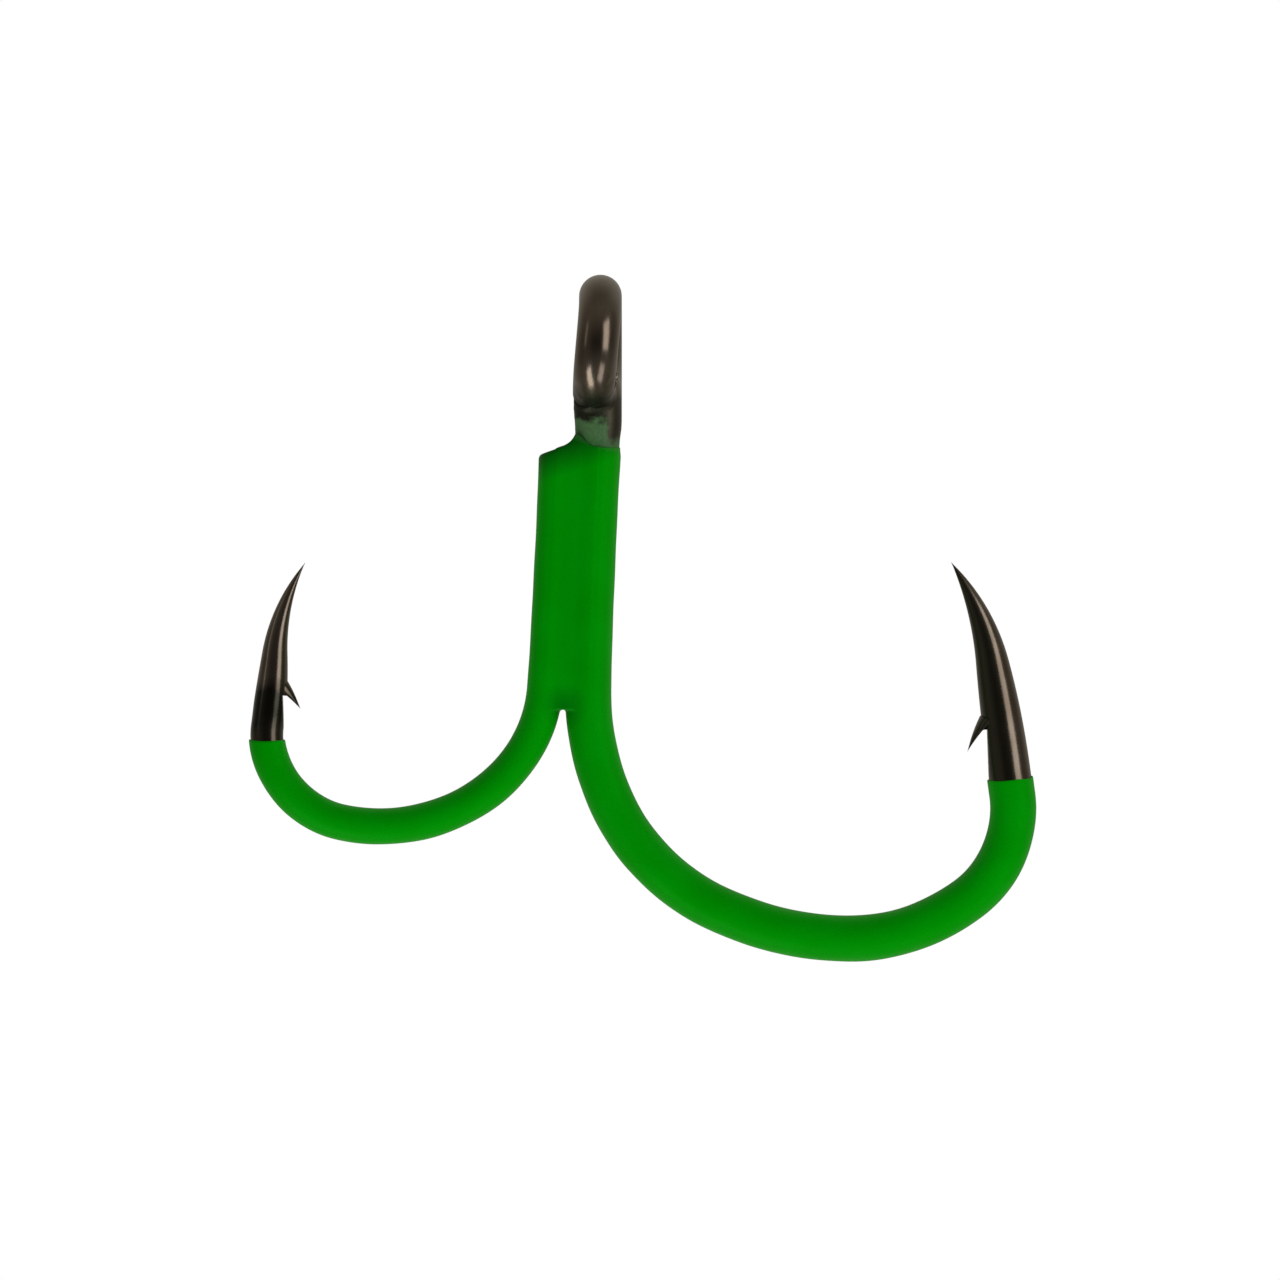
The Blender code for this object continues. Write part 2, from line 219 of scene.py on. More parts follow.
def eye_points():
    """The ring from its closing end over the top, and the neck down to the shank's top."""
    reach = EYE_RADIUS + NECK_RADIUS
    drop = math.sqrt(reach ** 2 - NECK_RADIUS ** 2)
    meet = -math.atan2(drop, NECK_RADIUS)
    phi = np.linspace(math.radians(EYE_END), meet, 150)
    shift = EYE_END_SHIFT * smooth_step((np.degrees(phi) - EYE_SHIFT_FROM) / (EYE_END - EYE_SHIFT_FROM))
    ring = np.stack([shift, EYE_RADIUS * np.cos(phi), EYE_CENTRE + EYE_RADIUS * np.sin(phi)], axis=1)
    phi = np.linspace(math.pi + meet, math.pi, 40)[1:-1]
    neck = np.stack([0 * phi, NECK_RADIUS * (1 + np.cos(phi)), EYE_CENTRE - drop + NECK_RADIUS * np.sin(phi)],
                    axis=1)
    return np.concatenate([ring, neck])


# ---- meshes ---------------------------------------------------------------------------------------

def new_object(name, verts, faces):
    """A mesh object from places in millimetres."""
    mesh = bpy.data.meshes.new(name)
    mesh.from_pydata((np.asarray(verts) * MM).tolist(), [], [list(map(int, f)) for f in faces])
    mesh.update()
    solid = bpy.data.objects.new(name, mesh)
    bpy.context.scene.collection.objects.link(solid)
    return solid


def sweep_frames(points):
    """Tangent and two steady cross directions at each station, starting from the last one."""
    tangent = np.gradient(points, axis=0)
    tangent /= np.linalg.norm(tangent, axis=1)[:, None]
    across = np.zeros_like(points)
    ref = np.array([0.0, 1.0, 0.0])
    for i in range(len(points) - 1, -1, -1):
        ref = ref - tangent[i] * ref.dot(tangent[i])
        ref /= np.linalg.norm(ref)
        across[i] = ref
    return tangent, across, np.cross(tangent, across)


def sweep(points, radii, sides=SIDES):
    """Rings of vertices round a path, as an array of stations by sides."""
    _, across, up = sweep_frames(points)
    angle = np.arange(sides) * 2 * np.pi / sides
    ring = np.cos(angle)[None, :, None] * across[:, None] + np.sin(angle)[None, :, None] * up[:, None]
    return points[:, None] + ring * np.asarray(radii)[:, None, None]


def tube_mesh(rings):
    """Vertices and faces of a closed tube: quads between rings and a fan at each end."""
    count, sides, _ = rings.shape
    verts = np.concatenate([rings.reshape(-1, 3), rings[0].mean(axis=0)[None], rings[-1].mean(axis=0)[None]])
    i = np.arange(sides)
    j = (i + 1) % sides
    faces = []
    for k in range(count - 1):
        a, b = k * sides, (k + 1) * sides
        faces.append(np.stack([a + i, b + i, b + j, a + j], axis=1))
    quads = np.concatenate(faces).tolist()
    first, last = count * sides, count * sides + 1
    end = (count - 1) * sides
    quads += [[first, a, b] for a, b in zip(i, j)]
    quads += [[last, end + b, end + a] for a, b in zip(i, j)]
    return verts, quads


def end_direction(points):
    """Unit vector out of a wire's first end."""
    outward = points[0] - points[1]
    return outward / np.linalg.norm(outward)


def rounded_start(points, radii, bevel):
    """Adds stations that round the edge of a wire's first end."""
    outward = end_direction(points)
    theta = np.linspace(90.0, 0.0, 7)
    added = [points[0] - outward * bevel * (1 - math.sin(math.radians(t))) for t in theta]
    shares = [radii[0] - bevel * (1 - math.cos(math.radians(t))) for t in theta]
    inside = np.linalg.norm(points - points[0], axis=1) > bevel * 1.3
    return np.concatenate([added, points[inside]]), np.concatenate([shares, np.asarray(radii)[inside]])


def shear_start(rings, centre, outward, slope):
    """Makes a wire's first end lean along X, fading out over a length of wire."""
    offset = rings - centre
    back = -offset @ outward
    near = (np.linalg.norm(offset, axis=2) < 2 * SHEAR_REACH) & (back < SHEAR_REACH) & (back > -0.1)
    share = np.where(near, offset[..., 0] * slope * (1 - np.clip(back, 0, None) / SHEAR_REACH), 0.0)
    return rings + outward * share[..., None]


def oriented(shape):
    """Turns a closed mesh's faces outward if they face in."""
    verts, faces = shape
    fans = np.array([(face[0], face[m], face[m + 1]) for face in faces for m in range(1, len(face) - 1)])
    a, b, c = (verts[fans[:, k]] for k in range(3))
    if np.einsum("ij,ij->", a, np.cross(b, c)) < 0:
        faces = [list(reversed(face)) for face in faces]
    return verts, faces


def smoothed(solid, crease):
    """Smooth shading with sharp edges kept above an angle."""
    solid.data.shade_smooth()
    solid.data.set_sharp_from_angle(angle=math.radians(crease))
    return solid


def boolean(target, other, operation):
    """Applies a Boolean with a solid that is then removed."""
    step = target.modifiers.new(operation.lower(), "BOOLEAN")
    step.operation = operation
    step.solver = "MANIFOLD"
    step.object = other
    graph = bpy.context.evaluated_depsgraph_get()
    mesh = bpy.data.meshes.new_from_object(target.evaluated_get(graph))
    target.modifiers.clear()
    target.data = mesh
    bpy.data.objects.remove(other)


def drop_specks(solid):
    """Removes the tiny closed shells that a Boolean can leave beside the body."""
    body = bmesh.new()
    body.from_mesh(solid.data)
    left, shells = set(body.verts), []
    for seed in body.verts:
        if seed not in left:
            continue
        left.remove(seed)
        shell = [seed]
        for vert in shell:
            beside = [edge.other_vert(vert) for edge in vert.link_edges]
            shell += [other for other in beside if other in left]
            left.difference_update(beside)
        shells.append(shell)
    shells.sort(key=len)
    for shell in shells[:-1]:
        bmesh.ops.delete(body, geom=shell, context="VERTS")
    body.to_mesh(solid.data)
    body.free()


# ---- hooks ----------------------------------------------------------------------------------------

def taper(distance, radius, grind):
    """Radius of a ground point at a distance from its tip."""
    length, power = grind
    share = 1.0 - (1.0 - np.clip(np.asarray(distance) / length, 0.0, 1.0)) ** power
    return np.maximum(TIP_RADIUS, radius * share)


def cut_notch(rings, chain, where, barb, inward_sign, radius, grind):
    """Flattens the wire behind a barb, deepest at the ledge and fading out."""
    full = float(taper(barb["root"] + barb["ledge"], radius, grind))
    first = len(rings) - len(where)
    for k, run in enumerate(where):
        back = chain.length - run - barb["root"] - barb["ledge"]
        if not 0.0 < back < barb["fade"]:
            continue
        x, z, heading = chain.at(run)
        inward = np.array([-math.sin(heading), 0.0, math.cos(heading)]) * inward_sign
        centre = np.array([x, 0.0, z])
        depth = (rings[first + k] - centre) @ inward
        limit = full - barb["notch"] + (radius + 0.02 - full + barb["notch"]) * back / barb["fade"]
        rings[first + k] -= np.clip(depth - limit, 0.0, None)[:, None] * inward
    return rings


def sliver(name, chain, barb, inward_sign, radius, grind):
    """The raised sliver of a barb: a D section that narrows to a point."""
    x, z, heading = chain.at(chain.length - barb["root"])
    inward = np.array([-math.sin(heading), 0.0, math.cos(heading)]) * inward_sign
    along = np.array([math.cos(heading), 0.0, math.sin(heading)])
    lift = math.radians(barb["lift"])
    away = inward * math.sin(lift) - along * math.cos(lift)
    crest = inward * math.cos(lift) + along * math.sin(lift)
    base = np.array([x, 0.0, z]) + inward * (float(taper(barb["root"], radius, grind)) - barb["sunk"])
    side = np.array([0.0, 1.0, 0.0])
    psi = np.linspace(-np.pi / 2, np.pi / 2, 21)
    flat = np.linspace(1.0, -1.0, 9)[1:-1]
    across = np.concatenate([np.sin(psi), flat])
    height = np.concatenate([np.cos(psi), 0 * flat]) - 0.5
    rings = []
    for t in np.linspace(0.0, 1.0, 28):
        wide = max(barb["width"] / 2 * (1 - t) ** 0.9, 0.008)
        thick = max(barb["thick"] * (1 - t), 0.012)
        bow = 0.06 * math.sin(math.pi * t)
        middle = base + away * barb["length"] * t + crest * bow
        rings.append(middle + np.outer(across * wide, side) + np.outer(height * thick, crest))
    return new_object(name, *oriented(tube_mesh(np.array(rings))))


def large_path():
    """Stations of the large wire, ring and neck included, and the runs of those on its chain."""
    where = runs(LARGE, LARGE_BARE, LARGE_BARB)
    return np.concatenate([eye_points(), chain_points(LARGE, where)]), where


def small_path():
    """Stations of the small wire and their runs."""
    where = runs(SMALL, SMALL_BARE, SMALL_BARB)
    return chain_points(SMALL, where), where


def run_from_tip(points):
    """Length of wire between each station and the tip."""
    steps = np.linalg.norm(np.diff(points, axis=0), axis=1)
    return np.concatenate([np.cumsum(steps[::-1])[::-1], [0.0]])


def build_hook(name, points, where, chain, radius, grind, barb, inward_sign, slope):
    """A wire with a leaning first end, a ground point, a notch and the barb's sliver in one mesh."""
    centre, outward = points[0].copy(), end_direction(points)
    radii = taper(run_from_tip(points), radius, grind)
    points, radii = rounded_start(points, radii, END_BEVEL)
    rings = shear_start(sweep(points, radii), centre, outward, slope)
    rings = cut_notch(rings, chain, where, barb, inward_sign, radius, grind)
    hook = new_object(name, *oriented(tube_mesh(rings)))
    boolean(hook, sliver(name + "_sliver", chain, barb, inward_sign, radius, grind), "UNION")
    return smoothed(hook, HOOK_CREASE)


def clearance(name, points, radius, slope, grow):
    """A wire grown by a clearance, to cut the pieces round it."""
    centre, outward = points[0].copy(), end_direction(points)
    rings = shear_start(sweep(points, np.full(len(points), radius + grow)), centre, outward, slope)
    rings[0] += outward * grow
    return new_object(name, *oriented(tube_mesh(rings)))


# ---- coating --------------------------------------------------------------------------------------

def smooth_min(a, b, k):
    """The lesser of two distances, blended over a width."""
    h = np.clip(k - np.abs(a - b), 0.0, None) / k
    return np.minimum(a, b) - h * h * k / 4


def smooth_max(a, b, k):
    """The greater of two distances, blended over a width."""
    return -smooth_min(-a, -b, k)


def unevenness(p):
    """Gentle swells of a sprayed coat, about a hundredth of a millimetre."""
    x, y, z = p[:, 0], p[:, 1], p[:, 2]
    swells = np.sin(1.3 * x + 0.9 * z) + np.sin(2.1 * z - 1.1 * x + 2.0 * y) + np.sin(3.3 * y + 1.9 * x)
    return 0.005 * swells


def coat_end(run, end, p, lean, seed):
    """Distance past the coating's edge, whose line leans and waves a little round the wire."""
    wave = 0.035 * np.sin(2.2 * p[:, 1] + seed) + 0.02 * np.sin(5.1 * p[:, 1] + 2.0 * p[:, 0] + seed)
    return run - end - lean - 0.06 * p[:, 1] - wave


def capsules(p, nodes):
    """Distance to a string of spheres joined by cones."""
    best = np.full(len(p), np.inf)
    for a, b in zip(nodes[:-1], nodes[1:]):
        start, span = np.array(a[:3]), np.array(b[:3]) - np.array(a[:3])
        share = np.clip((p - start) @ span / (span @ span), 0.0, 1.0)
        gap = np.linalg.norm(p - start - share[:, None] * span, axis=1) - (a[3] + share * (b[3] - a[3]))
        best = np.minimum(best, gap)
    return best


def coat_top(x, z):
    """Distance above the coating's upper edge, a slant that climbs to the neck and drops across it."""
    rise = np.clip((x - NECK_SIDE + NECK_FILLET) / NECK_FILLET, 0.0, 1.0)
    left = TOP_PLACE[1] + SMALL_TOP_SLOPE * (x - TOP_PLACE[0]) + NECK_CLIMB * rise ** 2.4
    peak = TOP_PLACE[1] + SMALL_TOP_SLOPE * (NECK_SIDE - TOP_PLACE[0]) + NECK_CLIMB
    right = SHANK_TOP + (peak - SHANK_TOP) * smooth_step((NECK_SIDE + 1.0 - x) / 1.0)
    edge = np.where(x < NECK_SIDE, left, right)
    return (z - edge) * 0.9


def coat_field(p):
    """Signed distance, roughly, to the coating's outer surface."""
    x, y, z = p[:, 0], p[:, 1], p[:, 2]
    skin = GAP + SKIN + unevenness(p)
    far_l, run_l, left_l = LARGE.nearest(x, z)
    far_s, run_s, left_s = SMALL.nearest(x, z)
    top = coat_top(x, z)
    thin = 0.30 + 0.70 * smooth_step(-top / FEATHER)

    large = np.hypot(far_l, y) - (LARGE_R + GAP + (skin - GAP) * thin)
    large = smooth_max(large, coat_end(run_l, LARGE.length - LARGE_BARE, p, 0.05 * left_l, 0.4), 0.08)
    tongue = capsules(p, TONGUE) - (GAP + (skin - GAP) * thin)
    large = smooth_min(large, tongue, 0.15)
    large = smooth_max(large, top, 0.04)

    small = np.hypot(far_s, y) - (SMALL_R + skin)
    small = smooth_max(small, coat_end(run_s, SMALL.length - SMALL_BARE, p, 0.10 * left_s, 2.1), 0.08)
    small = smooth_max(small, top, 0.22)

    to_large, to_small = -left_l, left_s
    share = np.clip(to_small / np.maximum(to_small + to_large, 0.1), 0.0, 1.0)
    sunk = WEB_SUNK + CROTCH_SUNK * smooth_step((CROTCH_FADE[0] - z) / (CROTCH_FADE[0] - CROTCH_FADE[1]))
    half = SMALL_R + (LARGE_R - SMALL_R) * share + skin - sunk
    web = np.maximum(np.abs(y) - half, np.maximum(-to_large, -to_small))
    web = smooth_max(web, CROTCH - SKIN - z, 0.10)
    web = smooth_max(web, top, 0.10)
    both = smooth_min(large, small, 0.08)
    return smooth_min(both, web, 0.16)


def settle(verts, field, rounds):
    """Moves vertices on to the zero of a field."""
    step = 1e-3
    for _ in range(rounds):
        value = field(verts)
        slope = np.stack([(field(verts + step * axis) - value) / step for axis in np.eye(3)], axis=1)
        length = np.maximum((slope ** 2).sum(axis=1), 0.05)
        verts = verts - np.clip(value / length, -0.2, 0.2)[:, None] * slope
    return verts


def remeshed(name, shapes, voxel):
    """One even skin round several overlapping solids, as vertices in millimetres and faces."""
    verts, faces, base = [], [], 0
    for points, polygons in shapes:
        verts.append(points)
        faces += [[base + v for v in face] for face in polygons]
        base += len(points)
    solid = new_object(name, np.concatenate(verts) / MM, faces)
    step = solid.modifiers.new("remesh", "REMESH")
    step.mode = "VOXEL"
    step.voxel_size = voxel
    graph = bpy.context.evaluated_depsgraph_get()
    mesh = bpy.data.meshes.new_from_object(solid.evaluated_get(graph))
    bpy.data.objects.remove(solid)
    flat = np.empty(len(mesh.vertices) * 3)
    mesh.vertices.foreach_get("co", flat)
    polygons = [list(face.vertices) for face in mesh.polygons]
    return flat.reshape(-1, 3), polygons


def web_block():
    """Rough block of the web between the shanks."""
    corners = []
    for z, xl, xs in ((CROTCH - 0.05, -0.65, -3.10), (SEED_TOP, -0.15, -2.26)):
        for x, half in ((xs, SMALL_R), (xl, LARGE_R)):
            for sign in (-1, 1):
                corners.append((x, sign * half, z))
    faces = [(0, 1, 3, 2), (4, 6, 7, 5), (0, 4, 5, 1), (2, 3, 7, 6), (0, 2, 6, 4), (1, 5, 7, 3)]
    return oriented((np.array(corners), [list(f) for f in faces]))


def tongue_tube(top, grow):
    """A tube round the braze on the neck, from a height down past its foot."""
    nodes = np.array(TONGUE)
    height = np.linspace(top, BRAZE_FOOT - 0.4, 60)
    places = np.stack([np.interp(-height, -nodes[:, 2], nodes[:, k]) for k in range(4)], axis=1)
    places[:, 2] = height
    return oriented(tube_mesh(sweep(places[:, :3], places[:, 3] + grow, SEED_SIDES)))


def neck_points():
    """Stations of the large wire from the neck's bend into the covered shank."""
    path = large_path()[0]
    return path[(path[:, 2] < -2.3) & (path[:, 2] > -8.5) & (path[:, 1] > -0.3) & (np.abs(path[:, 0]) < 1.0)]


def neck_distance(p):
    """Distance to the large wire's surface near the neck."""
    path = neck_points()
    best = np.full(len(p), np.inf)
    for centre in path:
        best = np.minimum(best, ((p - centre) ** 2).sum(axis=1))
    return np.sqrt(best) - LARGE_R


def braze_field(p):
    """Signed distance, roughly, to the braze with the wire still in it."""
    body = smooth_min(capsules(p, TONGUE), neck_distance(p), 0.30)
    path = large_path()[0]
    offset = p - path[0]
    before = EYE_END_SLOPE * offset[:, 0] + BRAZE_SEAM - offset @ end_direction(path)
    ends = np.maximum(p[:, 2] - BRAZE_TOP, BRAZE_FOOT - p[:, 2])
    return smooth_max(body, np.maximum(before, ends), 0.05)


def eye_braze():
    """Braze that fills the seam between the ring's closing end and the neck, with soft fillets."""
    points = neck_points()
    neck = oriented(tube_mesh(sweep(points, np.full(len(points), LARGE_R + 0.05), SEED_SIDES)))
    verts, faces = remeshed("braze_blank", [tongue_tube(BRAZE_TOP, 0.06), neck], BRAZE_VOXEL)
    braze = new_object("eye_braze_fillet", *oriented((settle(verts, braze_field, 8), faces)))
    boolean(braze, clearance("braze_bore", large_path()[0], LARGE_R, EYE_END_SLOPE, GAP), "DIFFERENCE")
    drop_specks(braze)
    return smoothed(braze, CAST_CREASE)


def green_coating():
    """The coat: a rough skin round both wires, the web and the braze, settled and bored for the wires."""
    skin = GAP + SKIN
    shapes = [web_block(), tongue_tube(SEED_TOP, skin + 0.04)]
    for chain, radius, bare, top in ((LARGE, LARGE_R, LARGE_BARE, 0.75), (SMALL, SMALL_R, SMALL_BARE, 0.0)):
        where = np.arange(top, chain.length - bare + 0.1, SEED_STEP)
        points = chain_points(chain, where)
        if chain is SMALL:
            points = np.concatenate([points[:1] + end_direction(points) * 0.25, points])
        shapes.append(oriented(tube_mesh(sweep(points, np.full(len(points), radius + skin), SEED_SIDES))))
    verts, faces = remeshed("coat_blank", shapes, COAT_VOXEL)
    coat = new_object("green_coating_skin", *oriented((settle(verts, coat_field, 5), faces)))
    boolean(coat, clearance("large_bore", large_path()[0], LARGE_R, EYE_END_SLOPE, GAP), "DIFFERENCE")
    boolean(coat, clearance("small_bore", small_path()[0], SMALL_R, SMALL_TOP_SLOPE, GAP), "DIFFERENCE")
    drop_specks(coat)
    return smoothed(coat, CAST_CREASE)


# ---- materials ------------------------------------------------------------------------------------

class Nodes:
    """Short way to write a material's node tree."""

    def __init__(self, name):
        self.material = bpy.data.materials.new(name)
        self.material.use_nodes = True
        self.tree = self.material.node_tree
        self.shader = self.tree.nodes["Principled BSDF"]
        self.place = self.add("ShaderNodeTexCoord").outputs["Object"]

    def add(self, kind, settings=None, **inputs):
        """A new node, with an underscore for a space in the names of its inputs."""
        node = self.tree.nodes.new(kind)
        for key, value in (settings or {}).items():
            setattr(node, key, value)
        for key, value in inputs.items():
            self.put(node, key.replace("_", " "), value)
        return node

    def put(self, node, key, value):
        """Links a socket to an input, or sets the input to a value."""
        socket = node.inputs[int(key)] if key.isdigit() else node.inputs[key]
        if isinstance(value, bpy.types.NodeSocket):
            self.tree.links.new(value, socket)
        else:
            socket.default_value = value

    def noise(self, scale, detail=3.0, roughness=0.5, stretch=(1.0, 1.0, 1.0)):
        mapping = self.add("ShaderNodeMapping", Vector=self.place, Scale=stretch)
        return self.add("ShaderNodeTexNoise", Vector=mapping.outputs[0], Scale=scale, Detail=detail,
                        Roughness=roughness).outputs["Fac"]

    def ramp(self, value, low, high, start, end):
        """Maps value from low..high to start..end, clamped."""
        node = self.add("ShaderNodeMapRange", Value=value)
        for key, number in (("From Min", low), ("From Max", high), ("To Min", start), ("To Max", end)):
            self.put(node, key, number)
        return node.outputs["Result"]

    def fade(self, value, span, start=0.0, end=1.0):
        """As ramp, with low and high as a pair of places in millimetres."""
        return self.ramp(value, span[0] * MM, span[1] * MM, start, end)

    def frayed(self, value, scale, reach):
        """Moves a value up and down by a reach with a cloudy noise, to roughen an edge."""
        return self.math("ADD", value, self.ramp(self.noise(scale, 3.0, 0.6), 0.3, 0.7, -reach, reach))

    def mix(self, share, first, second):
        node = self.add("ShaderNodeMix", {"data_type": "RGBA"})
        self.put(node, "0", share)
        self.put(node, "6", first)
        self.put(node, "7", second)
        return node.outputs[2]

    def math(self, operation, a, b):
        node = self.add("ShaderNodeMath", {"operation": operation})
        self.put(node, "0", a)
        self.put(node, "1", b)
        return node.outputs[0]

    def bump(self, height, strength, distance, normal=None):
        node = self.add("ShaderNodeBump", Height=height, Strength=strength, Distance=distance)
        if normal is not None:
            self.put(node, "Normal", normal)
        return node.outputs[0]

    def x_and_z(self):
        split = self.add("ShaderNodeSeparateXYZ", Vector=self.place)
        return split.outputs["X"], split.outputs["Z"]

    def finish(self, **inputs):
        """Sets the shader's inputs and returns the material."""
        for key, value in inputs.items():
            self.put(self.shader, key.replace("_", " "), value)
        return self.material


def colour(r, g, b):
    """Opaque colour from linear red, green and blue."""
    return (r, g, b, 1.0)


# Marks, as pairs of places in millimetres where each starts and where it is full
NEAR_EYE = (4.0, 3.0)           # x: keeps the eye's marks off the large point
SCORCH_AND_SHADE = (-3.6, -4.4)           # z: burnt by the brazing, with painted shade of the seam under the ring's closing end
SCORCH_AND_SHADE_SIDE = (0.6, 0.1)        # x: and less so on the right
PATCH = (-5.3, -5.6)            # z: overspray on the left of the neck
PATCH_SIDE = (0.48, 0.30)       # x: its right edge
OVERSPRAY = (-6.2, -6.9)        # z: overspray all round, just above the coating
RICH = (6.3, 7.05)              # depth over which overspray builds up into full green
RICH_LEAN = -0.35               # and how the depth leans along x
COAT_EDGE = (-7.4, -6.9)        # z: the coating's own thin top
POINT_ONLY = (16.0, 16.5)       # x: the large point's painted shade
BARB_SIDE = (20.6, 20.4)        # x: its barb
BARB_BELOW = (-20.6, -21.2)     # z
SMALL_SHADE_BAND = (-19.2, -20.0)    # z: painted shade band on the small point, breaking its strip of reflected light
SMALL_SHADE_BAND_LOW = (-21.9, -21.3)
CROTCH_SPOT = (-1.90, -20.60)   # (x, z) of the painted shade round the top of the opening
CROTCH_SHADE = (0.1, 1.3)       # distance from it

DUST = (0.062, 0.165, 0.056, 1.0)       # thin green overspray on dark metal


def green_coat():
    """Satin powder coat: soft orange peel, faint mottling and a fine grain, with painted shade under its
    slanted top and round the top of the opening between the wires.
    """
    n = Nodes("green_powder_coat")
    mottle = n.noise(320.0, 2.0)
    grain = n.noise(9000.0, 2.0)
    peel = n.noise(2600.0, 2.0, 0.4)
    tone = n.mix(n.ramp(mottle, 0.3, 0.7, 0.0, 1.0), colour(0.0, 0.305, 0.0), colour(0.0, 0.335, 0.002))
    tone = n.mix(n.ramp(grain, 0.62, 0.78, 0.0, 0.30), tone, colour(0.0, 0.26, 0.0))
    x, z = n.x_and_z()
    line = n.math("MULTIPLY", x, SMALL_TOP_SLOPE)
    line = n.math("ADD", line, (TOP_PLACE[1] - SMALL_TOP_SLOPE * TOP_PLACE[0]) * MM)
    below = n.math("SUBTRACT", line, z)
    # painted shade: a darker band under the small shank's slanted top, where the top turns away from the
    # light
    tone = n.mix(n.fade(below, (0.0, TOP_SHADE_REACH), 1.0, 0.0), tone, colour(0.001, 0.085, 0.003))
    # painted shade in the crease round the top of the opening between the wires
    tone = n.mix(crotch_shade(n, x, z), tone, colour(0.0, 0.15, 0.004))
    rich = n.fade(z, COAT_EDGE, 1.0, richness(n, x, z))
    tone = n.mix(rich, DUST, tone)
    normal = n.bump(peel, 0.30, 0.00003)
    normal = n.bump(grain, 0.12, 0.000006, normal)
    return n.finish(Base_Color=tone, Roughness=n.ramp(grain, 0.3, 0.7, 0.42, 0.54), Normal=normal,
                    Specular_IOR_Level=0.20, Specular_Tint=colour(0.02, 1.0, 0.02))


def crotch_shade(n, x, z):
    """How far painted shade darkens the coat round the top of the opening between the two wires."""
    across = n.math("SUBTRACT", x, CROTCH_SPOT[0] * MM)
    up = n.math("SUBTRACT", z, CROTCH_SPOT[1] * MM)
    away = n.math("ADD", n.math("MULTIPLY", across, across), n.math("MULTIPLY", up, up))
    return n.fade(n.math("SQRT", away, 0.0), CROTCH_SHADE, 0.75, 0.0)


def richness(n, x, z):
    """How far overspray has built up into full green: most low down and on the small hook's side."""
    return n.fade(n.math("SUBTRACT", n.math("MULTIPLY", x, RICH_LEAN), z), RICH, 0.1, 1.0)


def metal_grain(n):
    """Clouds in the plating, and faint lines drawn along the wire."""
    cloud = n.noise(500.0, 3.0)
    streak = n.noise(1.0, 3.0, 0.6, (7000.0, 7000.0, 500.0))
    tone = n.mix(n.ramp(cloud, 0.3, 0.7, 0.0, 1.0), colour(0.100, 0.078, 0.060), colour(0.128, 0.110, 0.092))
    tone = n.mix(n.ramp(streak, 0.55, 0.75, 0.0, 0.5), tone, colour(0.115, 0.070, 0.050))
    rough = n.ramp(streak, 0.25, 0.75, 0.17, 0.25)
    return tone, rough, n.bump(streak, 0.06, 0.000008)


def black_nickel(name, shade_band=False):
    """Warm dark plating with faint drawn lines, and, if asked, a painted shade band across the small point
    that breaks its strip of reflected light.
    """
    n = Nodes(name)
    tone, rough, normal = metal_grain(n)
    if shade_band:
        # painted shade: a dark band that breaks the small point's reflected light strip and dims its barb's
        # highlight
        height = n.frayed(n.x_and_z()[1], 700.0, 0.0004)
        dark = n.math("MULTIPLY", n.fade(height, SMALL_SHADE_BAND), n.fade(height, SMALL_SHADE_BAND_LOW, 0.65, 1.0))
        tone = n.mix(dark, tone, colour(0.026, 0.026, 0.020))
    return n.finish(Base_Color=tone, Roughness=rough, Metallic=1.0, Normal=normal)


def point_shade(n, x, z):
    """How far painted shade darkens the plating of the large point: its side turned from the light, and its
    barb's highlight.
    """
    facing = n.add("ShaderNodeSeparateXYZ", Vector=n.add("ShaderNodeNewGeometry").outputs["Normal"])
    inner = n.ramp(n.frayed(facing.outputs["X"], 700.0, 0.15), 0.40, -0.20, 0.0, 1.0)
    barb = n.math("MULTIPLY", n.fade(x, BARB_SIDE), n.fade(z, BARB_BELOW))
    return n.math("MULTIPLY", n.math("MAXIMUM", inner, barb), n.fade(x, POINT_ONLY))


def neck_plating(name):
    """As black_nickel, with painted shade on the large point, darkened where the eye was brazed (heat tint
    and painted shade under the ring's closing end), with green overspray above the coating's edge.
    """
    n = Nodes(name)
    tone, rough, normal = metal_grain(n)
    x, z = n.x_and_z()
    near = n.fade(x, NEAR_EYE)
    # painted shade on the large point's side turned from the light and over its barb
    tone = n.mix(point_shade(n, x, z), tone, colour(0.054, 0.052, 0.038))
    level = n.frayed(z, 1500.0, 0.00025)

    # heat tint of the brazing, plus painted shade of the seam under the ring's closing end: darker and
    # rougher
    burnt_and_shaded = n.math("MULTIPLY", n.fade(level, SCORCH_AND_SHADE), near)
    burnt_and_shaded = n.math("MULTIPLY", burnt_and_shaded, n.fade(x, SCORCH_AND_SHADE_SIDE, 0.70, 1.0))
    tone = n.mix(burnt_and_shaded, tone, colour(0.026, 0.030, 0.020))
    rough = n.math("ADD", rough, n.math("MULTIPLY", burnt_and_shaded, 0.30))

    patch = n.math("MULTIPLY", n.fade(level, PATCH), n.fade(n.frayed(x, 2500.0, 0.00008), PATCH_SIDE))
    cover = n.math("MAXIMUM", patch, n.fade(level, OVERSPRAY))
    cover = n.math("MULTIPLY", cover, n.ramp(n.noise(5000.0, 3.0, 0.6), 0.3, 0.55, 0.78, 1.0))
    cover = n.math("MULTIPLY", cover, near)
    tone = n.mix(cover, tone, n.mix(richness(n, x, z), DUST, colour(0.004, 0.115, 0.010)))
    rough = n.math("ADD", rough, n.math("MULTIPLY", cover, 0.20))
    return n.finish(Base_Color=tone, Roughness=rough, Metallic=n.math("SUBTRACT", 1.0, cover), Normal=normal)


def paint(solid, material):
    """Gives a piece its look and its CAD material slot, and fixes it to the root body."""
    solid.data.materials.clear()
    solid.data.materials.append(material)
    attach(solid, "root")


# ---- studio ---------------------------------------------------------------------------------------

